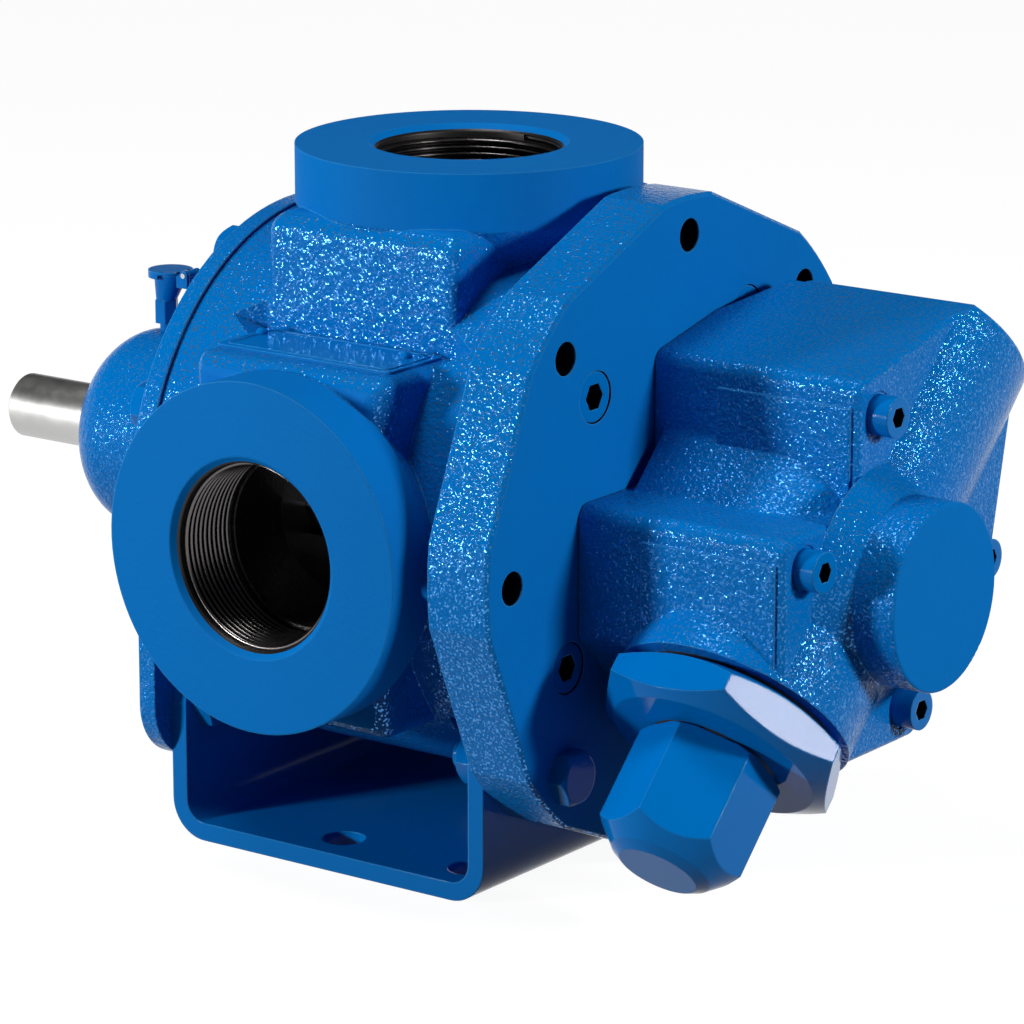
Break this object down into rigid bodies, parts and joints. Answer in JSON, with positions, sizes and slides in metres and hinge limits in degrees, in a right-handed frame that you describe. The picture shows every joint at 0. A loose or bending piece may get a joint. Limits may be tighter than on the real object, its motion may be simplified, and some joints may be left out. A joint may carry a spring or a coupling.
{
  "type": "gear pump",
  "caption": "Internal gear pump with threaded ports at a right angle, an octagonal head carrying a relief valve, a keyed drive shaft with an oiled hub and a bent steel foot.",
  "frame": {"origin": "on the foot's underside, below the point where the two port axes meet on the shaft axis", "axes": "+X along the drive shaft towards the relief valve, -Y out of the side port, +Z out of the top port"},
  "size_m": [0.381, 0.222, 0.227],
  "materials": {
    "blue_paint": "gloss enamel over sand-cast and machined iron",
    "bare_steel": "turned bright steel",
    "cast_iron": "machined grey iron",
    "inner_steel": "machined steel, lightly oiled",
    "bearing_steel": "ground and polished",
    "bronze": "turned bronze",
    "black_rubber": "moulded",
    "seal_face": "lapped carbon",
    "gasket_sheet": "pressed fibre sheet"
  },
  "bodies": {
    "housing": {"adjuster_locknut": "inner_steel", "bearing_bracket": "blue_paint", "bearing_outer_race": "bearing_steel", "bearing_snap_ring": "inner_steel", "bonnet": "blue_paint", "bonnet_gasket": "gasket_sheet", "bracket_bolts": "blue_paint", "bracket_gasket": "gasket_sheet", "cap_gasket": "gasket_sheet", "casing": "blue_paint", "foot": "blue_paint", "foot_front_bolts": "blue_paint", "foot_front_nuts": "blue_paint", "foot_rear_bolts": "blue_paint", "foot_rear_nuts": "blue_paint", "gland_oring": "black_rubber", "gland_snap_ring": "inner_steel", "head": "blue_paint", "head_gasket": "gasket_sheet", "head_screws": "blue_paint", "idler_pin": "inner_steel", "nameplate": "blue_paint", "nameplate_screws": "blue_paint", "oil_cup_body": "blue_paint", "oil_cup_pin": "inner_steel", "relief_body": "blue_paint", "relief_cap": "blue_paint", "relief_gasket": "gasket_sheet", "relief_screws": "blue_paint", "seal_gland": "inner_steel", "seal_seat": "seal_face", "shaft_bushing": "bronze", "shaft_lip_seal": "black_rubber"},
    "shaft": {"drive_shaft": "bare_steel", "rotor": "cast_iron", "rotor_key": "inner_steel", "bearing_inner_race": "bearing_steel", "shaft_snap_ring": "inner_steel", "seal_rotary": "seal_face", "seal_bellows": "black_rubber", "seal_spring": "inner_steel", "seal_collar": "inner_steel", "seal_set_screws": "inner_steel"},
    "idler": {"idler_gear": "inner_steel", "idler_bushing": "bronze"},
    "bearing_set": {"bearing_cage": "bearing_steel", "bearing_balls": "bearing_steel"},
    "poppet": {"relief_poppet": "inner_steel", "relief_spring": "inner_steel"},
    "button": {"spring_button": "inner_steel"},
    "adjuster": {"adjusting_screw": "inner_steel"},
    "lid": {"oil_cup_lid": "blue_paint"}
  },
  "joints": [
    {"name": "shaft_spin", "type": "hinge", "parent": "housing", "child": "shaft", "pos_m": [0, 0, 0.112], "axis": [1, 0, 0], "continuous": true},
    {"name": "idler_spin", "type": "hinge", "parent": "housing", "child": "idler", "pos_m": [0, -0.00964, 0.12164], "axis": [1, 0, 0], "continuous": true},
    {"name": "bearing_spin", "type": "hinge", "parent": "housing", "child": "bearing_set", "pos_m": [-0.1295, 0, 0.112], "axis": [1, 0, 0], "continuous": true},
    {"name": "poppet_lift", "type": "slide", "parent": "housing", "child": "poppet", "axis": [0, -0.7071, -0.7071], "range_m": [0, 0.008], "stiffness_N_per_m": 32500, "springref_m": -0.0114, "deforming": ["relief_spring"]},
    {"name": "button_travel", "type": "slide", "parent": "housing", "child": "button", "axis": [0, -0.7071, -0.7071], "range_m": [-0.003, 0.003]},
    {"name": "screw_turn", "type": "hinge", "parent": "button", "child": "adjuster", "pos_m": [0.134, -0.05657, 0.05543], "axis": [0, -0.7071, -0.7071], "range_deg": [-756, 756]},
    {"name": "lid_hinge", "type": "hinge", "parent": "housing", "child": "lid", "pos_m": [-0.1183, 0, 0.168], "axis": [0, 1, 0], "range_deg": [0, 110], "stiffness_Nm_per_rad": 0.01, "springref_deg": -34.38}
  ],
  "couplings": [
    {"joint": "idler_spin", "follows": "shaft_spin", "ratio": 1.375},
    {"joint": "bearing_spin", "follows": "shaft_spin", "ratio": 0.39688},
    {"joint": "screw_turn", "follows": "button_travel", "rad_per_m": 4188.8}
  ]
}
